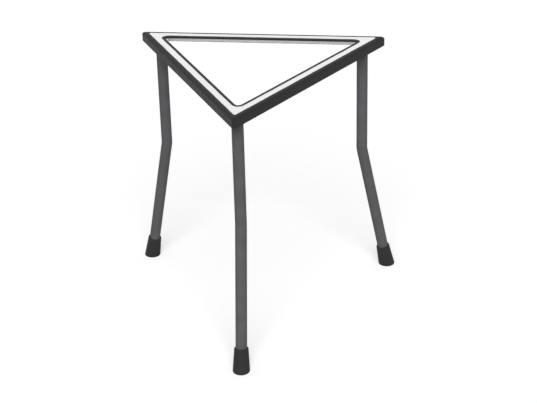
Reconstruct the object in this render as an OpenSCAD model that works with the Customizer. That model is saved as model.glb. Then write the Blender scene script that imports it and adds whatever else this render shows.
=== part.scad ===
// Lab tripod stand: a triangular top folded from sheet steel, on three rod legs that
// screw into weld nuts under its corners and stand in flared rubber feet.
//
// Millimetres, +Z up. The origin is on the floor, on the vertical axis through the
// middle of the triangle. One corner points along -Y, which is the front.

/* [Top] */
// Side of the triangle, between the sharp corners of its outline
side = 200; // [150:1:260]
// Height of the rim's upper face above the floor
height = 210; // [180:1:260]
// Thickness of the sheet steel
sheet = 1.5; // [1:0.1:2.5]
// Width of the rim, from the outer face of the skirt to the opening
rim_w = 12; // [8:0.5:14]
// Depth of the skirt, from the rim's upper face down
skirt_h = 8; // [6:0.5:16]
// Inside radius of the bend between the rim and the skirt
bend_in_r = 0.8; // [0.5:0.1:1.5]
// Metal left in each corner of the skirt after it is ground back
corner_wall = 1.6; // [0.8:0.1:1.9]
// Radius of the corners of the opening
opening_r = 3; // [3:0.5:12]

/* [Legs] */
// Diameter of the rod
rod_d = 9; // [7:0.5:10]
// Height above the floor at which the rod bends outwards
kink_h = 115; // [60:1:150]
// Angle between the lower part of the rod and the vertical
splay = 12; // [4:0.5:16]
// Radius of the rod's bend, measured to its axis
kink_r = 18; // [12:1:40]
// How much thinner the rod gets where it is bent
kink_thinning = 0.04; // [0.02:0.01:0.1]
// Chamfer at both ends of the rod and at the end of its stud
rod_chamfer = 0.5; // [0.2:0.1:0.8]

/* [Screwed joint] */
// Diameter of the threaded stud at the top of the rod
stud_d = 6; // [4:0.5:6]
// Radial gap between the stud and the nut, which stands for the thread's play
stud_play = 0.05; // [0.02:0.01:0.1]
// Gap between the end of the stud and the underside of the rim
stud_gap = 0.5; // [0.2:0.1:1.5]
// Width of the weld nut across its flats
nut_af = 10; // [8:0.5:11]
// Height of the weld nut
nut_h = 5; // [4:0.5:7]
// Width of the chamfer on the nut's corners, measured from its flats
nut_chamfer = 0.25; // [0.1:0.05:0.5]
// Gap between the nut's flats and the inside of the skirt
nut_clearance = 4; // [1:0.5:5]

/* [Feet] */
// Length of the foot along the leg, from the floor to its upper edge
foot_len = 19; // [16:1:35]
// Thickness of the rubber round the rod at the foot's upper edge
foot_wall = 1; // [0.9:0.1:3]
// How much further out the foot reaches at the floor than at its upper edge
foot_flare = 1.2; // [0.5:0.1:4]
// Rubber between the end of the rod and the floor, along the leg
foot_sole = 5; // [3:0.5:9]
// Radius of the foot's upper edge
foot_edge_r = 0.6; // [0.3:0.1:0.8]
// Chamfer round the foot where it meets the floor
foot_chamfer = 0.6; // [0.3:0.1:1]
// Radial gap between the rod and the foot
foot_play = 0.05; // [0.02:0.01:0.2]

/* [Hidden] */
$fn = 72;

// Directions of the three corners, seen from above
FRONT = -90;
RIGHT = 30;
LEFT = 150;
CORNERS = [FRONT, RIGHT, LEFT];

// Outside radius of the bend between the rim and the skirt
bend_r = bend_in_r + sheet;
// How far the opening's round corners cut past its straight sides. They cross there,
// because rounds that only touched the sides would leave slivers in the edge.
opening_lap = 0.01;

// A sharp corner of the outline lies this far from the axis, and a side half as far
corner_reach = side / sqrt(3);
// The inside of the skirt comes to a corner of its own, twice the sheet further in
ground_reach = corner_reach - 2 * sheet + corner_wall;

// A leg's axis keeps its nut clear of both skirts that meet at the corner
leg_inset = sheet + nut_clearance + nut_af / 2;
leg_reach = corner_reach - 2 * leg_inset;
// The rod's shoulder bears on the lower face of the nut
rim_underside = height - sheet;
shoulder_h = rim_underside - nut_h;
// Straight length that the bend takes from each side of the corner it rounds
kink_len = kink_r * tan(splay / 2);
// How far the lengths of the rod run into each other, which makes them one solid
rod_lap = 0.1;
// Slope length of the lower part, from the corner of the bend to the floor
slope_len = kink_h / cos(splay);
foot_reach = leg_reach + kink_h * tan(splay);

foot_bore_r = rod_d / 2 + foot_play;
foot_top_r = foot_bore_r + foot_wall;
foot_base_r = foot_top_r + foot_flare;
// How fast the foot widens towards the floor, and the spare length that is cut off there
foot_slope = foot_flare / foot_len;
foot_spare = foot_base_r;

// Everything behind one face of the skirt. The face looks along +X, lies inset from the
// outline, and is bent over at its upper edge with radius r.
module behind_face(inset, r, low, top) {
    face = corner_reach / 2 - inset;
    rotate([90, 0, 0])
        linear_extrude(2 * side, center = true)
            translate([-side, low]) {
                square([side + face, top - r - low]);
                square([side + face - r, top - low]);
                translate([side + face - r, top - r - low])
                    circle(r);
            }
}

// Solid triangle with all three upper edges bent over, and mitres at its corners
module folded_triangle(inset, r, low, top) {
    intersection_for (a = CORNERS)
        rotate(a + 180)
            behind_face(inset, r, low, top);
}

// Outline of the opening, a triangle with round corners
module opening() {
    reach = corner_reach - 2 * rim_w - 2 * opening_r;
    polygon([
        for (a = CORNERS, turn = [-60, 60])
            reach * [cos(a), sin(a)] + opening_r * [cos(a + turn), sin(a + turn)]
    ]);
    for (a = CORNERS)
        translate(reach * [cos(a), sin(a)])
            circle(opening_r + opening_lap);
}

// Sheet-steel top, its edges folded down and welded where they meet. The corners are
// ground back to one circle round the axis.
module top_frame() {
    skirt_foot = height - skirt_h;
    color("whitesmoke")
        difference() {
            intersection() {
                folded_triangle(0, bend_r, skirt_foot, height);
                translate([0, 0, skirt_foot])
                    cylinder(h = skirt_h, r = ground_reach);
            }
            folded_triangle(sheet, bend_in_r, skirt_foot - sheet, rim_underside);
            translate([0, 0, skirt_foot])
                linear_extrude(2 * skirt_h)
                    opening();
        }
}

// Hexagonal nut, welded to the underside of the rim with two of its flats parallel
// to the skirts. It is drawn for a corner that points along +X.
module weld_nut() {
    // The chamfer's cones run out past the nut's corners
    flat_r = nut_af / 2 - nut_chamfer;
    past = nut_af / sqrt(3) + nut_chamfer;
    drop = (past - flat_r) * tan(30);
    bore_r = stud_d / 2 + stud_play;
    color("gainsboro")
        translate([leg_reach, 0, shoulder_h])
            difference() {
                intersection() {
                    rotate(30)
                        cylinder(h = nut_h, r = nut_af / sqrt(3), $fn = 6);
                    rotate_extrude()
                        polygon([
                            [0, 0], [flat_r, 0], [past, drop],
                            [past, nut_h - drop], [flat_r, nut_h], [0, nut_h]
                        ]);
                }
                translate([0, 0, -1])
                    cylinder(h = nut_h + 2, r = bore_r);
            }
}

// Rod with a chamfer at its lower end, standing on the XY plane
module chamfered_rod(d, length) {
    rotate_extrude()
        polygon([
            [0, 0], [d / 2 - rod_chamfer, 0], [d / 2, rod_chamfer],
            [d / 2, length], [0, length]
        ]);
}

// One rod, bent once, with its upper end turned down to a stud. It is drawn for a
// corner that points along +X.
module leg() {
    color("dimgray") {
        // Upper part, from the shoulder down to the bend
        translate([leg_reach, 0, shoulder_h])
            mirror([0, 0, 1])
                chamfered_rod(rod_d, shoulder_h - kink_h - kink_len + rod_lap);
        // Stud, from its end down into the shoulder
        translate([leg_reach, 0, rim_underside - stud_gap])
            mirror([0, 0, 1])
                chamfered_rod(stud_d, nut_h - stud_gap + rod_lap);
        // Bend, about a centre on the outer side of the leg
        translate([leg_reach + kink_r, 0, kink_h + kink_len])
            rotate([90, 0, 0])
                rotate(180)
                    rotate_extrude(angle = splay)
                        translate([kink_r, 0])
                            circle(d = rod_d - kink_thinning);
        // Lower part, from its end in the foot up to the bend
        translate([foot_reach, 0, 0])
            rotate([0, -splay, 0])
                translate([0, 0, foot_sole])
                    chamfered_rod(rod_d, slope_len - foot_sole - kink_len + rod_lap);
    }
}

// Flared rubber foot pushed over the end of the rod. It is drawn for a corner that
// points along +X, and its sole is cut to lie flat on the floor.
module foot() {
    color([0.13, 0.13, 0.13])
        difference() {
            intersection() {
                translate([foot_reach, 0, 0])
                    rotate([0, -splay, 0])
                        rotate_extrude()
                            foot_section();
                // Everything above the floor, with the chamfer round the sole
                translate([foot_reach, 0, 0])
                    cylinder(
                        h = 2 * foot_len,
                        r1 = foot_base_r - foot_chamfer,
                        r2 = foot_base_r - foot_chamfer + 2 * foot_len
                    );
            }
            translate([foot_reach, 0, 0])
                rotate([0, -splay, 0])
                    translate([0, 0, foot_sole])
                        cylinder(h = foot_len, r = foot_bore_r);
        }
}

// Half of the foot's outline, with Y along the leg and 0 where its axis meets the floor
module foot_section() {
    shoulder = foot_len - foot_edge_r;
    shoulder_r = foot_top_r + foot_edge_r * foot_slope;
    polygon([
        [0, -foot_spare], [foot_base_r + foot_spare * foot_slope, -foot_spare],
        [shoulder_r, shoulder], [shoulder_r - foot_edge_r, shoulder],
        [shoulder_r - foot_edge_r, foot_len], [0, foot_len]
    ]);
    intersection() {
        translate([shoulder_r - foot_edge_r, shoulder])
            circle(foot_edge_r);
        translate([shoulder_r - foot_edge_r, shoulder])
            square(foot_edge_r);
    }
}

top_frame();
rotate(FRONT) weld_nut();  // nut_front
rotate(RIGHT) weld_nut();  // nut_right
rotate(LEFT) weld_nut();  // nut_left
rotate(FRONT) leg();  // leg_front
rotate(RIGHT) leg();  // leg_right
rotate(LEFT) leg();  // leg_left
rotate(FRONT) foot();  // foot_front
rotate(RIGHT) foot();  // foot_right
rotate(LEFT) foot();  // foot_left
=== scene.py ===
# %% [markdown]
# # A lab tripod stand
#
# The stand holds a wire gauze over a bench burner. It is ten pieces: a triangular top
# folded from sheet steel, three hexagonal nuts welded under its corners, three steel
# rods that screw into the nuts, and a rubber foot on each rod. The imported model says
# how big every piece is and where it goes. This script gives them their looks.

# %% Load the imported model
from math import cos, degrees, pi, radians, sin, tan

import bmesh
import bpy
from mathutils import Matrix, Vector


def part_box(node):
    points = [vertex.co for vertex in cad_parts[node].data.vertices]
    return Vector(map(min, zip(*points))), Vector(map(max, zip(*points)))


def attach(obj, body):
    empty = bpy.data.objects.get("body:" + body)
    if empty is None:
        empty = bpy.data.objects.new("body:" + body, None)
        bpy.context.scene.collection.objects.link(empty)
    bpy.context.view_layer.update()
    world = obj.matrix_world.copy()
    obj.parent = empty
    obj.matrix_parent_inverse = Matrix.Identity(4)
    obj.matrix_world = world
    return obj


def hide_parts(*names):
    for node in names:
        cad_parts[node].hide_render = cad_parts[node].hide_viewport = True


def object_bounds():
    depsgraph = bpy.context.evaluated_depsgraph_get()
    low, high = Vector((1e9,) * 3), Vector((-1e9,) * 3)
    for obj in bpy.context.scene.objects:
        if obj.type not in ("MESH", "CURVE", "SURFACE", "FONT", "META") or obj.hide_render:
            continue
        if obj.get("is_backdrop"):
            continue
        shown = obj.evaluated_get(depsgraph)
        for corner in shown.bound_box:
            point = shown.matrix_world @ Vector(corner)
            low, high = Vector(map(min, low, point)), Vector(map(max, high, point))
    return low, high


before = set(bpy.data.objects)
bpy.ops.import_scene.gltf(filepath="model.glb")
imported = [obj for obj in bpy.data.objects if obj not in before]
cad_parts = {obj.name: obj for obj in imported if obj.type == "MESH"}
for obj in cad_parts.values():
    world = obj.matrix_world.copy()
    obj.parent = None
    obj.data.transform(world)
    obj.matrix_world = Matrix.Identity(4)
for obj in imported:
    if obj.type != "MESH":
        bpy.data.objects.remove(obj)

cad_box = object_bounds()
print("nodes:", ", ".join(sorted(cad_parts)))

# %% [markdown]
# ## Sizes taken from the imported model
#
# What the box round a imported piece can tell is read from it: the height of the top, the
# thickness of its sheet, the place of a nut and the thickness of a rod. What no box can
# tell, such as the width of the rim or the height of the bend, is a named value in the
# cell that first needs it. The top, the rods and the feet print how far their boxes are
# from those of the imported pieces, so most values that no longer fit show at once.

# %% Sizes of the stand
MM = 0.001

top_low, top_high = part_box("top_frame")
nut_low, nut_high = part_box("nut_front")
leg_low, leg_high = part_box("leg_front")
height = top_high.z
skirt_foot = top_low.z
underside = nut_high.z
sheet = height - underside
# The rod's shoulder bears on the lower face of the nut
shoulder = nut_low.z
# From the axis to a side of the triangle, and to the sharp corner of its outline
side_reach = top_high.y
corner_reach = 2 * side_reach
# From the axis to the nuts and the upper parts of the rods
leg_reach = -(nut_low.y + nut_high.y) / 2
rod_r = (leg_high.x - leg_low.x) / 2

# The directions of the three corners, seen from above
CORNERS = {"front": radians(-90), "right": radians(30), "left": radians(150)}

print(f"top {height / MM:.1f} mm high, side {corner_reach * 3 ** 0.5 / MM:.1f} mm")
print(f"sheet {sheet / MM:.2f} mm, rod {2 * rod_r / MM:.2f} mm thick")

# %% [markdown]
# ## Camera
#
# The camera stands a little to the right of the front corner and looks down at about
# 27 degrees, so that the top shows as a wide triangle and all three legs stand clear of
# each other. A short lens close by would spread the legs. A long one from further off
# keeps the rods nearly parallel. The camera also leans a little, which brings the back
# of the top closer to level.

# %% Camera
AZIMUTH = radians(7.9)
ELEVATION = radians(26.2)
LEAN = radians(-1.5)
# In metres, from the stand's middle
DISTANCE = 1.234
# Focal length, in millimetres
LENS = 102.2
# The camera aims a little to the right of the stand's middle and below it
AIM_ACROSS = 8.9 * MM
AIM_BELOW = 19.2 * MM
middle = Vector((0, 0, height / 2))
across = Vector((cos(AZIMUTH), sin(AZIMUTH), 0))
away = Vector((0, 0, sin(ELEVATION))) + cos(ELEVATION) * Vector((sin(AZIMUTH), -cos(AZIMUTH), 0))
place = middle + DISTANCE * away
target = middle + AIM_ACROSS * across - Vector((0, 0, AIM_BELOW))

camera = bpy.data.objects.new("camera", bpy.data.cameras.new("camera"))
camera.data.lens = LENS
turn = (target - place).to_track_quat("-Z", "Y").to_matrix().to_4x4()
camera.matrix_world = Matrix.Translation(place) @ turn @ Matrix.Rotation(LEAN, 4, "Z")
bpy.context.scene.collection.objects.link(camera)
bpy.context.scene.camera = camera
print(f"camera {DISTANCE:.2f} m away with a {LENS:.0f} mm lens")

# %% [markdown]
# ## Helpers for node trees
#
# A material is a tree of nodes. Written out in full, a node takes one line to add it and
# one more for every setting and link, and the idea gets lost among them. These helpers
# keep the trees below short enough to be read from top to bottom.

# %% Helpers for node trees
def add_node(tree, kind, **settings):
    """A new node in the tree, with its settings."""
    made = tree.nodes.new(kind)
    for name, value in settings.items():
        setattr(made, name, value)
    return made


def feed(tree, socket, value):
    """Sets a socket to a number, or links another node's socket to it."""
    if isinstance(value, (int, float)):
        socket.default_value = value
    else:
        tree.links.new(value, socket)


def calculate(tree, operation, *values):
    """A Math node. Each value is a number, or the socket that is linked to it."""
    made = add_node(tree, "ShaderNodeMath", operation=operation)
    for socket, value in zip(made.inputs, values):
        feed(tree, socket, value)
    return made.outputs["Value"]


# %% [markdown]
# ## A drift in tone and gloss
#
# No real coat is the same all over. Its tone and its gloss drift a little from place to
# place. A painted texture could show that, but each piece would need one of its own. A
# noise on Object coordinates fits any piece as it is. Every finish uses it, each with
# its own strength and size of patch, so it is a node group.

# %% Noise over a piece
def object_place(tree):
    """Where a point of the piece lies, in metres and in the stand's own frame."""
    return add_node(tree, "ShaderNodeTexCoord").outputs["Object"]


def noise(tree, place, scale, detail):
    """A soft noise between 0 and 1. Its scale is about how many patches lie on a metre."""
    made = add_node(tree, "ShaderNodeTexNoise")
    made.inputs["Detail"].default_value = detail
    tree.links.new(place, made.inputs["Vector"])
    feed(tree, made.inputs["Scale"], scale)
    return made.outputs["Fac"]


def noise_swing(tree, place, scale, detail):
    """The same noise, moved down by half so that it swings to both sides of zero."""
    return calculate(tree, "SUBTRACT", noise(tree, place, scale, detail), 0.5)


# %% A new node group
NUMBER = "NodeSocketFloat"
COLOUR = "NodeSocketColor"


def new_group(name, inputs, outputs):
    """A node group with named sockets. Returns its tree, what it gets and what it puts out."""
    tree = bpy.data.node_groups.new(name, "ShaderNodeTree")
    for label, kind in inputs.items():
        tree.interface.new_socket(label, in_out="INPUT", socket_type=kind)
    for label, kind in outputs.items():
        tree.interface.new_socket(label, in_out="OUTPUT", socket_type=kind)
    entry = add_node(tree, "NodeGroupInput")
    leave = add_node(tree, "NodeGroupOutput")
    return tree, entry.outputs, leave.inputs


# %% A drift in tone and gloss
DRIFT_DETAIL = 3.0


def make_drift_group():
    """Colour and roughness that vary softly over the surface, in patches of one size."""
    tree, given, out = new_group(
        "coat_drift",
        {"Color": COLOUR, "Roughness": NUMBER, "Patches": NUMBER, "Tone": NUMBER, "Gloss": NUMBER},
        {"Color": COLOUR, "Roughness": NUMBER},
    )
    swing = noise_swing(tree, object_place(tree), given["Patches"], DRIFT_DETAIL)

    brighter = calculate(tree, "MULTIPLY_ADD", swing, given["Tone"], 1.0)
    tinted = add_node(tree, "ShaderNodeVectorMath", operation="SCALE")
    tree.links.new(given["Color"], tinted.inputs[0])
    tree.links.new(brighter, tinted.inputs["Scale"])
    tree.links.new(tinted.outputs["Vector"], out["Color"])

    rougher = calculate(tree, "MULTIPLY_ADD", swing, given["Gloss"], given["Roughness"])
    tree.links.new(rougher, out["Roughness"])
    return tree


coat_drift = make_drift_group()
print("group", coat_drift.name, "with", len(coat_drift.nodes), "nodes")

# %% [markdown]
# ## A fine relief
#
# No coat is quite flat either. Enamel ripples, dipped paint has long streaks and moulded
# rubber has a grain. In the mesh, relief as fine as that would take millions of faces,
# and none of it would show in the outline. So it is a height that each shader turns into
# bump. The group works the height out, and each finish says how fine and how deep it is.

# %% A fine relief
RELIEF_DETAIL = 2.0


def make_relief_group():
    """The height of a fine relief, in metres. Grains is how many there are to a metre."""
    tree, given, out = new_group(
        "coat_relief", {"Grains": NUMBER, "Depth": NUMBER, "Stretch": NUMBER}, {"Height": NUMBER}
    )
    # Squeezing the coordinates in height draws the grains out upwards
    squeeze = add_node(tree, "ShaderNodeCombineXYZ")
    feed(tree, squeeze.inputs["X"], 1.0)
    feed(tree, squeeze.inputs["Y"], 1.0)
    feed(tree, squeeze.inputs["Z"], calculate(tree, "DIVIDE", 1.0, given["Stretch"]))
    drawn_out = add_node(tree, "ShaderNodeVectorMath", operation="MULTIPLY")
    tree.links.new(object_place(tree), drawn_out.inputs[0])
    tree.links.new(squeeze.outputs["Vector"], drawn_out.inputs[1])
    grains = noise(tree, drawn_out.outputs["Vector"], given["Grains"], RELIEF_DETAIL)
    tree.links.new(calculate(tree, "MULTIPLY", grains, given["Depth"]), out["Height"])
    return tree


coat_relief = make_relief_group()
print("group", coat_relief.name, "with", len(coat_relief.nodes), "nodes")

# %% [markdown]
# ## What all coats have in common
#
# Each finish is one Principled shader, with a drift in colour and gloss and a relief
# that feeds its bump. What is the same all over, such as how strongly the coat
# reflects, is set straight on the shader. The nuts, the rods and the feet have one coat
# all over and differ only in their values, so one function makes all three coats.

# %% Parts of a finish
def use_group(tree, group, **values):
    """A group placed in a material, with its inputs set by name."""
    made = add_node(tree, "ShaderNodeGroup", node_tree=group)
    for name, value in values.items():
        made.inputs[name].default_value = value
    return made


def drift(tree, colour, roughness, patches, tone, gloss):
    """The drift group with its five values."""
    return use_group(
        tree,
        coat_drift,
        Color=(*colour, 1),
        Roughness=roughness,
        Patches=patches,
        Tone=tone,
        Gloss=gloss,
    )


def new_material(name, specular):
    """A material whose Principled shader has no links yet. Returns it, its tree and the shader."""
    material = bpy.data.materials.new(name)
    material.use_nodes = True
    tree = material.node_tree
    shader = tree.nodes["Principled BSDF"]
    shader.inputs["Specular IOR Level"].default_value = specular
    return material, tree, shader


def raise_surface(tree, shader, height_socket):
    """Feeds a height in metres to the shader's normal."""
    bump = add_node(tree, "ShaderNodeBump")
    # The height is in metres already, so it counts once
    bump.inputs["Distance"].default_value = 1.0
    tree.links.new(height_socket, bump.inputs["Height"])
    tree.links.new(bump.outputs["Normal"], shader.inputs["Normal"])


# %% A plain coat
def coat(name, colour, roughness, specular, patches, tone, gloss, grains, depth, stretch=1.0):
    """A material with one coat all over."""
    material, tree, shader = new_material(name, specular)
    finish = drift(tree, colour, roughness, patches, tone, gloss)
    tree.links.new(finish.outputs["Color"], shader.inputs["Base Color"])
    tree.links.new(finish.outputs["Roughness"], shader.inputs["Roughness"])
    relief = use_group(tree, coat_relief, Grains=grains, Depth=depth, Stretch=stretch)
    raise_surface(tree, shader, relief.outputs["Height"])
    return material


# %% [markdown]
# ## Enamel
#
# The top is enamelled like kitchenware. A dark ground coat is fired on all over. A white
# cover coat goes over it on the flat of the rim and on the inside, and is wiped back from
# the fold, from the lower edge and from the edge of the opening, where it would chip.
# The dark coat shows there as a clean line. The two coats also carry painted light and
# shade: the white on the flat of the rim is the top lit from above, and the dark on the
# outside of the skirt is the skirt's shade, both painted into the colour.
#
# Two materials on faces of their own would be simpler, but their border would follow the
# edges of the mesh, as straight as a ruler. Here the mesh knows how far each of its
# points is from the line where the white begins: that is the attribute paint_border, in
# millimetres, positive under the white. The material lets a little noise push the line
# about, as a wiped line does, and gives the white a low step where it ends. The cover
# coat is glass-clear on top, so the same mask also feeds the shader's clear coat, and
# the ground coat is left with its own dull shine.

# %% Where the white enamel lies, which on the flat of the rim is the painted lit top
# In millimetres, as the attribute is: how far the line swings from side to side at most,
# and half the width over which it is soft
WAVER = 0.5
LINE_SOFTNESS = 0.08
# About how many waves there are to a metre
WAVES = 110.0
WAVE_DETAIL = 1.0


def lit_top_and_cover_mask(tree):
    """1 under the white cover coat and 0 on the bare ground coat. On the flat of the rim the 1 is
    the painted lit top, and on the skirt the 0 is painted shade.
    """
    border = add_node(tree, "ShaderNodeAttribute", attribute_name="paint_border").outputs["Fac"]
    swing = noise_swing(tree, object_place(tree), WAVES, WAVE_DETAIL)
    moved = calculate(tree, "MULTIPLY_ADD", swing, WAVER, border)
    edge = add_node(tree, "ShaderNodeMapRange", interpolation_type="SMOOTHSTEP")
    edge.inputs["From Min"].default_value = -LINE_SOFTNESS
    edge.inputs["From Max"].default_value = LINE_SOFTNESS
    tree.links.new(moved, edge.inputs["Value"])
    return edge.outputs["Result"]


print(f"the edge of the white swings by up to {WAVER / 2:.2f} mm to either side")

# %% Two-coat enamel of the top, with painted light and shade
# On the top, the white on the flat of the rim is painted light from above and the dark on the skirt
# is painted shade. On the nuts and welds the white is their own coat.
WHITE = (0.88, 0.88, 0.87)
DARK = (0.022, 0.022, 0.023)
COVER_ROUGHNESS = 0.12
COVER_THICKNESS = 0.06 * MM


def blend(tree, kind, mask, bare, covered):
    """Goes from one socket to the other where the cover coat lies. The kind is FLOAT or RGBA."""
    mixed = add_node(tree, "ShaderNodeMix", data_type=kind)
    tree.links.new(mask, mixed.inputs["Factor"])
    tree.links.new(bare, mixed.inputs["A"])
    tree.links.new(covered, mixed.inputs["B"])
    return mixed.outputs["Result"]


def enamel_with_painted_light():
    """Dark ground coat with a white cover coat over part of it. The white rim is painted light from
    above and the dark skirt is painted shade.
    """
    material, tree, shader = new_material("enamel_with_painted_light", specular=0.08)
    shader.inputs["Coat Roughness"].default_value = COVER_ROUGHNESS
    mask = lit_top_and_cover_mask(tree)
    tree.links.new(mask, shader.inputs["Coat Weight"])

    white = drift(tree, WHITE, roughness=0.2, patches=45, tone=0.04, gloss=0.12).outputs
    dark = drift(tree, DARK, roughness=0.46, patches=90, tone=0.5, gloss=0.2).outputs
    # The white is the painted lit top and the dark the painted shade of the skirt
    colour = blend(tree, "RGBA", mask, dark["Color"], white["Color"])
    tree.links.new(colour, shader.inputs["Base Color"])
    gloss = blend(tree, "FLOAT", mask, dark["Roughness"], white["Roughness"])
    tree.links.new(gloss, shader.inputs["Roughness"])

    ripple = use_group(tree, coat_relief, Grains=260, Depth=0.2 * MM, Stretch=1)
    step = calculate(tree, "MULTIPLY_ADD", mask, COVER_THICKNESS, ripple.outputs["Height"])
    raise_surface(tree, shader, step)
    return material


enamel = enamel_with_painted_light()
print("material", enamel.name)

# %% White enamel of the nuts
white_enamel = coat(
    "white_enamel",
    WHITE,
    roughness=0.26,
    specular=0.4,
    patches=90,
    tone=0.04,
    gloss=0.12,
    grains=260,
    depth=0.05 * MM,
)
print("material", white_enamel.name)

# %% [markdown]
# ## Paint and rubber
#
# The rods have a satin grey paint. They were dipped and hung up to dry, so the fine
# relief of the paint is drawn out along the rod. A glossier paint would mirror the white
# surroundings along both edges of a rod, and so hide that it is round. The feet are
# moulded from matt black rubber with a fine grain, and hardly reflect at all. Smooth
# paint and plain black would look like plastic: the drift and the grain are what tells
# the two apart from close by.

# %% Paint and rubber
GREY = (0.098, 0.098, 0.103)
BLACK = (0.024, 0.024, 0.024)

satin_paint = coat(
    "satin_grey_paint",
    GREY,
    roughness=0.6,
    specular=0.05,
    patches=90,
    tone=0.4,
    gloss=0.2,
    grains=620,
    depth=0.3 * MM,
    stretch=3.0,
)
rubber = coat(
    "moulded_rubber",
    BLACK,
    roughness=0.7,
    specular=0.15,
    patches=160,
    tone=0.5,
    gloss=0.2,
    grains=1500,
    depth=0.2 * MM,
)
print("materials", satin_paint.name, "and", rubber.name)

# %% [markdown]
# ## The section of the top
#
# The real top is a flat blank whose edges are folded down in a press brake. A plate with
# a Solidify and a Bevel modifier would come close, but would get the same round at
# every edge. Cut across one side, the sheet shows as an L lying down: the skirt, the
# bend and the rim. An L is six points. Bevelling a single point of a flat face rounds
# it by a radius of its own, so the bevel operator gives both the folds and the soft
# edges that enamel always has.

# %% Sizes of the section
# Inside radius of the folds, width of the rim, and radius of the soft edges
BEND_IN_R = 0.8 * MM
RIM_W = 12 * MM
EDGE_R = 0.4 * MM
# How wide the dark enamel shows on the flat, beside the fold and beside the opening
BARE_AT_FOLD = 1.8 * MM
BARE_AT_OPENING = 2.8 * MM
OUTER_FOLD_STEPS = 8
INNER_FOLD_STEPS = 5
EDGE_STEPS = 3
# Outside radius of the folds, and both edges of the white, measured in from the outline
bend_r = BEND_IN_R + sheet
white_from = bend_r + BARE_AT_FOLD
white_to = RIM_W - BARE_AT_OPENING
print(f"the white on the rim is {(white_to - white_from) / MM:.1f} mm wide")


# %% Section of the folded sheet
def round_points(bm, points, radius, corner_angle, steps):
    """Rounds points of a flat face, each between two edges that meet at this angle."""
    reach = radius / tan(corner_angle / 2)
    return bmesh.ops.bevel(
        bm,
        geom=points,
        offset=reach,
        segments=steps,
        profile=0.5,
        affect="VERTICES",
        material=-1,
    )


def sheet_section():
    """Points of the section, in order. X is the distance in from the outline, Y the height."""
    bm = bmesh.new()
    outer_fold = bm.verts.new((0, height, 0))
    inner_fold = bm.verts.new((sheet, underside, 0))
    skirt_edge = [bm.verts.new((0, skirt_foot, 0)), bm.verts.new((sheet, skirt_foot, 0))]
    opening_edge = [bm.verts.new((RIM_W, underside, 0)), bm.verts.new((RIM_W, height, 0))]
    # Three more points on the flat, at both edges of the white and halfway between them
    white_middle = (white_to + white_from) / 2
    flat = [bm.verts.new((x, height, 0)) for x in (white_to, white_middle, white_from)]
    bm.faces.new([outer_fold, *skirt_edge, inner_fold, *opening_edge, *flat])
    round_points(bm, [outer_fold], bend_r, pi / 2, OUTER_FOLD_STEPS)
    round_points(bm, [inner_fold], BEND_IN_R, pi / 2, INNER_FOLD_STEPS)
    round_points(bm, skirt_edge + opening_edge, EDGE_R, pi / 2, EDGE_STEPS)
    bm.faces.ensure_lookup_table()
    points = [v.co.xy.copy() for v in bm.faces[0].verts]
    bm.free()
    return points


section = sheet_section()
print(f"section of {len(section)} points, folds of {bend_r / MM:.1f} and {BEND_IN_R / MM:.1f} mm")

# %% [markdown]
# ## The top
#
# Each point of the section runs once round the stand, as a triangle with round corners.
# So the top is made as a set of such triangles, one for each point, and neighbours are
# bridged. Sweeping the section along a path would tie the corners of all its points
# together. Here each triangle has its own: tight where the skirt is welded and ground,
# and wider at the opening, which was punched with a rounded tool.
#
# Many of the triangles lie in one plane, where the bridge operator can't tell which
# point faces which. So they are stacked like rings on a pole while they are bridged, and
# only then does each move to its own height.

# %% Corners of the top
# Corner radii of the ground outside, of the inside of the skirt, and of the opening
GROUND_R = 1.4 * MM
INNER_CORNER_R = 0.8 * MM
OPENING_R = 3 * MM


def is_inside(inset, z):
    """Whether a point of the section is on the underside or on the inside of the skirt."""
    return inset > sheet / 2 and z < underside + EDGE_R / 2


def plan_radius(inset, z):
    """Corner radius of the triangle that a point of the section runs along."""
    if inset > RIM_W / 2:
        return OPENING_R + RIM_W - inset
    return INNER_CORNER_R if is_inside(inset, z) else GROUND_R


def border_distance(inset, z):
    """How far the white reaches past this point, in millimetres. Negative is dark enamel, which on
    the outside of the skirt is painted shade.
    """
    if is_inside(inset, z):
        return (min(RIM_W - inset, z - skirt_foot) - EDGE_R) / MM
    return min(inset - white_from, white_to - inset) / MM


white_points = sum(border_distance(inset, z) > 0 for inset, z in section)
print(f"{white_points} of the section's {len(section)} points are under white enamel")

# %% Triangles round the top
CORNER_STEPS = 8
STACK_STEP = 10 * MM
TRIANGLE_CORNER = radians(60)


def add_triangle(bm, reach, radius, z):
    """A triangle with round corners, one of which points along -Y. Returns its points."""
    made = bmesh.ops.create_circle(
        bm,
        cap_ends=True,
        segments=3,
        radius=reach,
        matrix=Matrix.Translation((0, 0, z)) @ Matrix.Rotation(pi, 4, "Z"),
    )
    return round_points(bm, made["verts"], radius, TRIANGLE_CORNER, CORNER_STEPS)["verts"]


def folded_top():
    """The whole sheet-steel top, from one triangle to the next and back to the first."""
    bm = bmesh.new()
    border = bm.verts.layers.float.new("paint_border")
    loops = []
    for n, (inset, z) in enumerate(section):
        # Where the sides of a triangle move in, its corners move in by twice as much
        reach = corner_reach - 2 * inset
        loop = add_triangle(bm, reach, plan_radius(inset, z), n * STACK_STEP)
        for v in loop:
            v[border] = border_distance(inset, z)
        loops.append(loop)
    rings = [list(loop[0].link_faces[0].edges) for loop in loops]
    # Only the edges go on: the triangles' own faces would lie inside the sheet
    bmesh.ops.delete(bm, geom=bm.faces[:], context="FACES_ONLY")
    for ring, following in zip(rings, rings[1:] + rings[:1]):
        bmesh.ops.bridge_loops(bm, edges=ring + following)
    for n, (loop, (inset, z)) in enumerate(zip(loops, section)):
        bmesh.ops.translate(bm, verts=loop, vec=(0, 0, z - n * STACK_STEP))
    return bm


top_mesh = folded_top()
print(f"top of {len(section)} triangles, with {len(top_mesh.faces)} faces between them")

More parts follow.
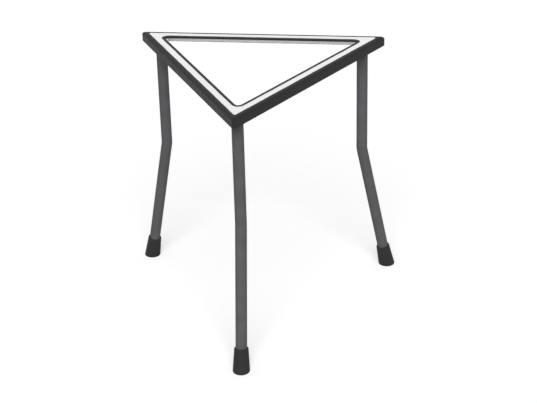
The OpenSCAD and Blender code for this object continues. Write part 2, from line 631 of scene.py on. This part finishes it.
# %% [markdown]
# ## From a bmesh to a piece
#
# Every piece ends in the same way. Points that fell together are merged, faces are turned
# outwards, and the shading is made smooth. That alone would make a wide flat look swollen
# beside its narrow rounded edges, and edges marked as sharp would crease the rounds. A
# weighted normal keeps flats flat and rounds round. Then the piece rides on the stand's
# one body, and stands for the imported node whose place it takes.

# %% Finish a piece
MERGE_DIST = 0.001 * MM


def make_piece(bm, name, material, stands_for=None):
    """An object with the bmesh's shape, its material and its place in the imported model."""
    bmesh.ops.remove_doubles(bm, verts=bm.verts, dist=MERGE_DIST)
    bmesh.ops.recalc_face_normals(bm, faces=bm.faces)
    mesh = bpy.data.meshes.new(name)
    bm.to_mesh(mesh)
    bm.free()
    mesh.shade_smooth()
    mesh.materials.append(material)
    piece = bpy.data.objects.new(name, mesh)
    bpy.context.scene.collection.objects.link(piece)
    piece.modifiers.new("flat_faces", "WEIGHTED_NORMAL")
    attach(piece, "root")
    if stands_for:
        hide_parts(stands_for)
    return piece


# %% Compare a piece with its node
def print_fit(piece, node):
    """Prints how far the piece's box is from its node's."""
    points = [v.co for v in piece.data.vertices]
    low = Vector(min(p[i] for p in points) for i in range(3))
    high = Vector(max(p[i] for p in points) for i in range(3))
    node_low, node_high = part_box(node)
    off = max(abs(a - b) for a, b in zip((*low, *high), (*node_low, *node_high)))
    print(f"{piece.name}: {len(points)} points, box within {off / MM:.2f} mm of {node}")


# %% Dress the top
top = make_piece(top_mesh, "enamelled_top", enamel, "top_frame")
print_fit(top, "top_frame")

# %% [markdown]
# ## Nuts and their welds
#
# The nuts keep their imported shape. They were welded on before enamelling, so they have
# the white coat too. Each is held by three short beads of weld, on every other flat. A
# long seam would be a profile swept round the nut. A bead as short as these has no
# straight stretch, so it is a ball, drawn out along the flat, pressed into the corner
# between nut and sheet, and cut off where the sheet begins.

# %% Weld beads
# How far a bead reaches out from its flat, along it to either side, and down from the sheet
BEAD = Vector((1.1, 2.2, 0.9)) * MM
BEAD_SUBDIVISIONS = 3
nut_af = nut_high.y - nut_low.y


def turn_to(bm, direction):
    """Turns a piece that was built for a corner along +X to its own corner."""
    bmesh.ops.rotate(bm, verts=bm.verts, cent=(0, 0, 0), matrix=Matrix.Rotation(direction, 3, "Z"))
    return bm


def weld_beads():
    """Three beads round a nut, for a corner that points along +X."""
    bm = bmesh.new()
    for turn in (0, radians(120), radians(240)):
        where = Matrix.Translation((leg_reach, 0, underside))
        where = where @ Matrix.Rotation(turn, 4, "Z") @ Matrix.Translation((-nut_af / 2, 0, 0))
        bmesh.ops.create_icosphere(
            bm, subdivisions=BEAD_SUBDIVISIONS, radius=1, matrix=where @ Matrix.Diagonal((*BEAD, 1))
        )
    bmesh.ops.bisect_plane(
        bm,
        geom=bm.verts[:] + bm.edges[:] + bm.faces[:],
        plane_co=(0, 0, underside),
        plane_no=(0, 0, 1),
        clear_outer=True,
    )
    bmesh.ops.holes_fill(bm, edges=bm.edges)
    return bm


# %% Dress the nuts
for corner, direction in CORNERS.items():
    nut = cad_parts[f"nut_{corner}"]
    nut.data.materials.clear()
    nut.data.materials.append(white_enamel)
    beads = turn_to(weld_beads(), direction)
    make_piece(beads, f"weld_beads_{corner}", white_enamel)
print(f"nuts {nut_af / MM:.1f} mm across flats, with three beads each")

# %% [markdown]
# ## Rods
#
# A leg is one steel rod. Its upper end is turned down to a stud, and it has been bent
# once, over a former. A curve with a round profile would make the bend, but not the
# stud, the shoulder and the chamfers. So the rod grows from the stud's end downwards:
# each stretch is the last ring of edges extruded along the rod, and the bend is the ring
# spun round the former's centre.

# %% Rod sizes
# The bend: its angle, the height of the corner that it rounds, and its radius at the axis
SPLAY = radians(12)
KINK_H = 115 * MM
KINK_R = 18 * MM
STUD_R = 3 * MM
# Between the end of the stud and the sheet
STUD_GAP = 0.5 * MM
ROD_CHAMFER = 0.5 * MM
# Rubber between the end of the rod and the floor, measured along the leg
FOOT_SOLE = 5 * MM
ROD_SIDES = 48
BEND_STEPS = 6
# Straight length that the bend takes from each side of the corner it rounds
kink_len = KINK_R * tan(SPLAY / 2)
# From that corner down the slope to the floor, and from the stand's axis to where it lands
slope_len = KINK_H / cos(SPLAY)
foot_reach = leg_reach + KINK_H * tan(SPLAY)
down = Vector((0, 0, -1))
down_slope = Vector((sin(SPLAY), 0, -cos(SPLAY)))
print(f"rods bent by {degrees(SPLAY):.0f} degrees, {KINK_H / MM:.0f} mm above the floor")


# %% A ring of edges that grows along the rod
def new_verts(made):
    """The points among what an operator made."""
    return [g for g in made if isinstance(g, bmesh.types.BMVert)]


def edges_between(verts):
    """The edges that have both ends among these points, each of them once."""
    inside = set(verts)
    # A set of edges would shuffle them, and the rods would change in the last digit each run
    return list(dict.fromkeys(e for v in verts for e in v.link_edges if set(e.verts) <= inside))


def grow(bm, ring, step=Vector((0, 0, 0)), widen=0.0):
    """Extrudes a ring of points, moves it by step and lets its radius grow by widen."""
    ring = new_verts(bmesh.ops.extrude_edge_only(bm, edges=edges_between(ring))["geom"])
    bmesh.ops.translate(bm, vec=step, verts=ring)
    centre = sum((v.co for v in ring), Vector()) / len(ring)
    radius = (ring[0].co - centre).length
    factor = 1 + widen / radius
    bmesh.ops.scale(bm, vec=(factor,) * 3, space=Matrix.Translation(-centre), verts=ring)
    return ring


# %% One bent rod
def bent_rod():
    """A rod for a corner that points along +X."""
    bm = bmesh.new()
    stud_top = underside - STUD_GAP
    start = Matrix.Translation((leg_reach, 0, stud_top))
    ring = bmesh.ops.create_circle(
        bm, cap_ends=True, segments=ROD_SIDES, radius=STUD_R - ROD_CHAMFER, matrix=start
    )["verts"]
    # The stud with its chamfer, then out over the shoulder and down to the bend
    ring = grow(bm, ring, ROD_CHAMFER * down, ROD_CHAMFER)
    ring = grow(bm, ring, (stud_top - ROD_CHAMFER - shoulder) * down)
    ring = grow(bm, ring, widen=rod_r - ROD_CHAMFER - STUD_R)
    ring = grow(bm, ring, ROD_CHAMFER * down, ROD_CHAMFER)
    ring = grow(bm, ring, (shoulder - ROD_CHAMFER - KINK_H - kink_len) * down)
    spun = bmesh.ops.spin(
        bm,
        geom=ring + edges_between(ring),
        cent=(leg_reach + KINK_R, 0, KINK_H + kink_len),
        axis=(0, -1, 0),
        angle=SPLAY,
        steps=BEND_STEPS,
    )
    # The sloping part, its chamfer, and the end that the foot hides
    ring = new_verts(spun["geom_last"])
    ring = grow(bm, ring, (slope_len - kink_len - FOOT_SOLE - ROD_CHAMFER) * down_slope)
    ring = grow(bm, ring, ROD_CHAMFER * down_slope, -ROD_CHAMFER)
    bmesh.ops.edgeloop_fill(bm, edges=edges_between(ring))
    return bm


# %% Dress the rods
for corner, direction in CORNERS.items():
    rod = turn_to(bent_rod(), direction)
    leg = make_piece(rod, f"painted_rod_{corner}", satin_paint, f"leg_{corner}")
    print_fit(leg, f"leg_{corner}")

# %% [markdown]
# ## Feet
#
# A foot is a rubber ferrule, moulded round its own axis and pushed over the end of the
# rod. It is a little wider below, and its sole is level although the leg slopes. A cone
# would still need its bore cut out and its lip rounded. Half of the outline, spun round
# the foot's axis, has both from the start. The whole is then tipped to the slope of the
# leg, and the floor cuts it level. The sole gets a round edge, and a shallow hollow that
# helps it grip.

# %% Foot sizes
FOOT_LEN = 19 * MM
FOOT_WALL = 1 * MM
FOOT_FLARE = 1.2 * MM
# Between the rod and the wall of the bore
FOOT_PLAY = 0.05 * MM
FOOT_EDGE_R = 0.6 * MM
# Spare length below the floor, which the cut takes off
FOOT_SPARE = 8 * MM
FOOT_SIDES = 48
# Width of the sole's flat rim, and depth of the hollow, whose wall slopes in by as much
SOLE_RIM = 1.8 * MM
SOLE_HOLLOW = 0.5 * MM
# Points closer than this to the axis or to the floor count as on it
TOUCH = 0.01 * MM
bore_r = rod_r + FOOT_PLAY
foot_top_r = bore_r + FOOT_WALL
foot_slope = FOOT_FLARE / FOOT_LEN
print(f"feet {FOOT_LEN / MM:.0f} mm long and {2 * foot_top_r / MM:.1f} mm wide at the top")


# %% A ferrule before its sole is cut
def foot_blank():
    """The ferrule, upright, with its axis on Z and the floor's level at 0."""
    bm = bmesh.new()
    lip = bm.verts.new((foot_top_r, 0, FOOT_LEN))
    outline = [
        bm.verts.new((0, 0, FOOT_SOLE)),
        bm.verts.new((bore_r, 0, FOOT_SOLE)),
        bm.verts.new((bore_r, 0, FOOT_LEN)),
        lip,
        bm.verts.new((foot_top_r + FOOT_FLARE + FOOT_SPARE * foot_slope, 0, -FOOT_SPARE)),
        bm.verts.new((0, 0, -FOOT_SPARE)),
    ]
    bm.faces.new(outline)
    round_points(bm, [lip], FOOT_EDGE_R, pi / 2, EDGE_STEPS)
    on_axis = [e for e in bm.edges if all(abs(v.co.x) < TOUCH for v in e.verts)]
    # Only the outline is spun, without its edge on the axis
    bmesh.ops.delete(bm, geom=bm.faces[:], context="FACES_ONLY")
    bmesh.ops.delete(bm, geom=on_axis, context="EDGES")
    bmesh.ops.spin(
        bm,
        geom=bm.verts[:] + bm.edges[:],
        cent=(0, 0, 0),
        axis=(0, 0, 1),
        angle=2 * pi,
        steps=FOOT_SIDES,
        use_merge=True,
    )
    bmesh.ops.remove_doubles(bm, verts=bm.verts, dist=MERGE_DIST)
    return bm


# %% One foot, cut level
def rubber_foot():
    """A foot for a corner that points along +X."""
    bm = foot_blank()
    bmesh.ops.rotate(bm, verts=bm.verts, cent=(0, 0, 0), matrix=Matrix.Rotation(-SPLAY, 3, "Y"))
    bmesh.ops.translate(bm, verts=bm.verts, vec=(foot_reach, 0, 0))
    cut = bmesh.ops.bisect_plane(
        bm,
        geom=bm.verts[:] + bm.edges[:] + bm.faces[:],
        plane_co=(0, 0, 0),
        plane_no=(0, 0, 1),
        clear_inner=True,
    )
    rim = [g for g in cut["geom_cut"] if isinstance(g, bmesh.types.BMEdge)]
    sole = bmesh.ops.edgeloop_fill(bm, edges=rim)["faces"]
    bmesh.ops.bevel(
        bm,
        geom=list(sole[0].edges),
        offset=FOOT_EDGE_R,
        segments=EDGE_STEPS,
        profile=0.5,
        affect="EDGES",
        material=-1,
    )
    # The bevel makes new faces, so the sole is found again, as the one that lies on the floor
    sole = [f for f in bm.faces if all(abs(v.co.z) < TOUCH for v in f.verts)]
    bmesh.ops.recalc_face_normals(bm, faces=bm.faces)
    bmesh.ops.inset_region(bm, faces=sole, thickness=SOLE_RIM, use_even_offset=True)
    bmesh.ops.inset_region(
        bm, faces=sole, thickness=SOLE_HOLLOW, depth=-SOLE_HOLLOW, use_even_offset=True
    )
    return bm


# %% Dress the feet
for corner, direction in CORNERS.items():
    ferrule = turn_to(rubber_foot(), direction)
    foot = make_piece(ferrule, f"rubber_foot_{corner}", rubber, f"foot_{corner}")
    print_fit(foot, f"foot_{corner}")

# %% [markdown]
# ## Light
#
# The light is plain: a dim even sky, and one strong soft lamp in front and above, on the
# camera's side, which leaves both edges of a rod darker than its middle. A brighter sky
# would flatten the rods. A lamp from one side would model them more strongly, but would
# leave one of the two front skirts in the dark. Together, sky and lamp light a surface
# at about the level at which a colour renders as it is written. The sky looks white to
# the camera and to reflections.

# %% Sky
SKY_LEVEL = 0.4
world = bpy.data.worlds.new("sky")
world.use_nodes = True
bpy.context.scene.world = world


def seen_directly(tree):
    """1 for rays from the camera and for those that a glossy or clear surface sends on."""
    path = add_node(tree, "ShaderNodeLightPath")
    seen = calculate(tree, "MAXIMUM", path.outputs["Is Camera Ray"], path.outputs["Is Glossy Ray"])
    return calculate(tree, "MAXIMUM", seen, path.outputs["Is Transmission Ray"])


def build_sky(tree):
    """A world that lights at one level and looks white."""
    sky = tree.nodes["Background"]
    sky.inputs["Color"].default_value = (1, 1, 1, 1)
    level = calculate(tree, "MULTIPLY_ADD", seen_directly(tree), 1 - SKY_LEVEL, SKY_LEVEL)
    tree.links.new(level, sky.inputs["Strength"])


build_sky(world.node_tree)
print("sky level", SKY_LEVEL)

# %% Lamp
LAMP_LEVEL = 0.83
LAMP_ANGLE = radians(40)
# Points from the stand to the lamp
LAMP_FROM = Vector((0.12, -1.0, 0.9))
lamp = bpy.data.objects.new("soft_lamp", bpy.data.lights.new("soft_lamp", "SUN"))
# At a strength of pi, a white surface that faces the lamp is lit to white
lamp.data.energy = pi * LAMP_LEVEL
lamp.data.angle = LAMP_ANGLE
lamp.rotation_mode = "QUATERNION"
lamp.rotation_quaternion = LAMP_FROM.to_track_quat("Z", "Y")
bpy.context.scene.collection.objects.link(lamp)
print("lamp level", LAMP_LEVEL)

# %% [markdown]
# ## Floor
#
# The floor is a pale grey disc that reaches far past the camera's view. One that only
# glowed white would look clean, but would lose the shadows that show where the feet
# stand, and a white one would throw much light up at the rods. So it is matt and takes
# the light like anything else, and where it is seen it is lifted by what it lacks to
# white. It lies a hair below the soles, so that the two never share a plane.

# %% Floor material
FLOOR_COLOUR = (0.6, 0.6, 0.6, 1)
FLOOR_LIFT = 0.45


def floor_material():
    """A pale grey floor that keeps shadows, lifted to white where it is seen."""
    material = bpy.data.materials.new("white_floor")
    material.use_nodes = True
    tree = material.node_tree
    tree.nodes.clear()
    matt = add_node(tree, "ShaderNodeBsdfDiffuse")
    matt.inputs["Color"].default_value = FLOOR_COLOUR
    glow = add_node(tree, "ShaderNodeEmission")
    lift = calculate(tree, "MULTIPLY", seen_directly(tree), FLOOR_LIFT)
    tree.links.new(lift, glow.inputs["Strength"])
    both = add_node(tree, "ShaderNodeAddShader")
    tree.links.new(matt.outputs["BSDF"], both.inputs[0])
    tree.links.new(glow.outputs["Emission"], both.inputs[1])
    out = add_node(tree, "ShaderNodeOutputMaterial")
    tree.links.new(both.outputs["Shader"], out.inputs["Surface"])
    return material


# %% Floor
# In metres
FLOOR_R = 4.0
FLOOR_SIDES = 96
FLOOR_GAP = 0.05 * MM


def lay_floor():
    """The disc under the stand, marked as stage because it isn't part of the object."""
    bm = bmesh.new()
    below = Matrix.Translation((0, 0, -FLOOR_GAP))
    bmesh.ops.create_circle(bm, cap_ends=True, segments=FLOOR_SIDES, radius=FLOOR_R, matrix=below)
    mesh = bpy.data.meshes.new("floor")
    bm.to_mesh(mesh)
    bm.free()
    mesh.materials.append(floor_material())
    floor = bpy.data.objects.new("floor", mesh)
    bpy.context.scene.collection.objects.link(floor)
    floor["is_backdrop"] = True


lay_floor()
print("floor", 2 * FLOOR_R, "m across")

# %% [markdown]
# ## View settings and sizes
#
# The Standard view shows colours as they are, where a filmic one would grey the whites.
# The box of the dressed stand is measured, and how far each of its sides moved from the
# imported one's is printed: dressing it should move no side of the box by more than a hair.

# %% Finish
bpy.context.scene.view_settings.view_transform = "Standard"

visual_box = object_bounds()
grown = [round((b - a) / MM, 2) for p, q in zip(cad_box, visual_box) for a, b in zip(p, q)]
print("box moved by, in mm:", grown)
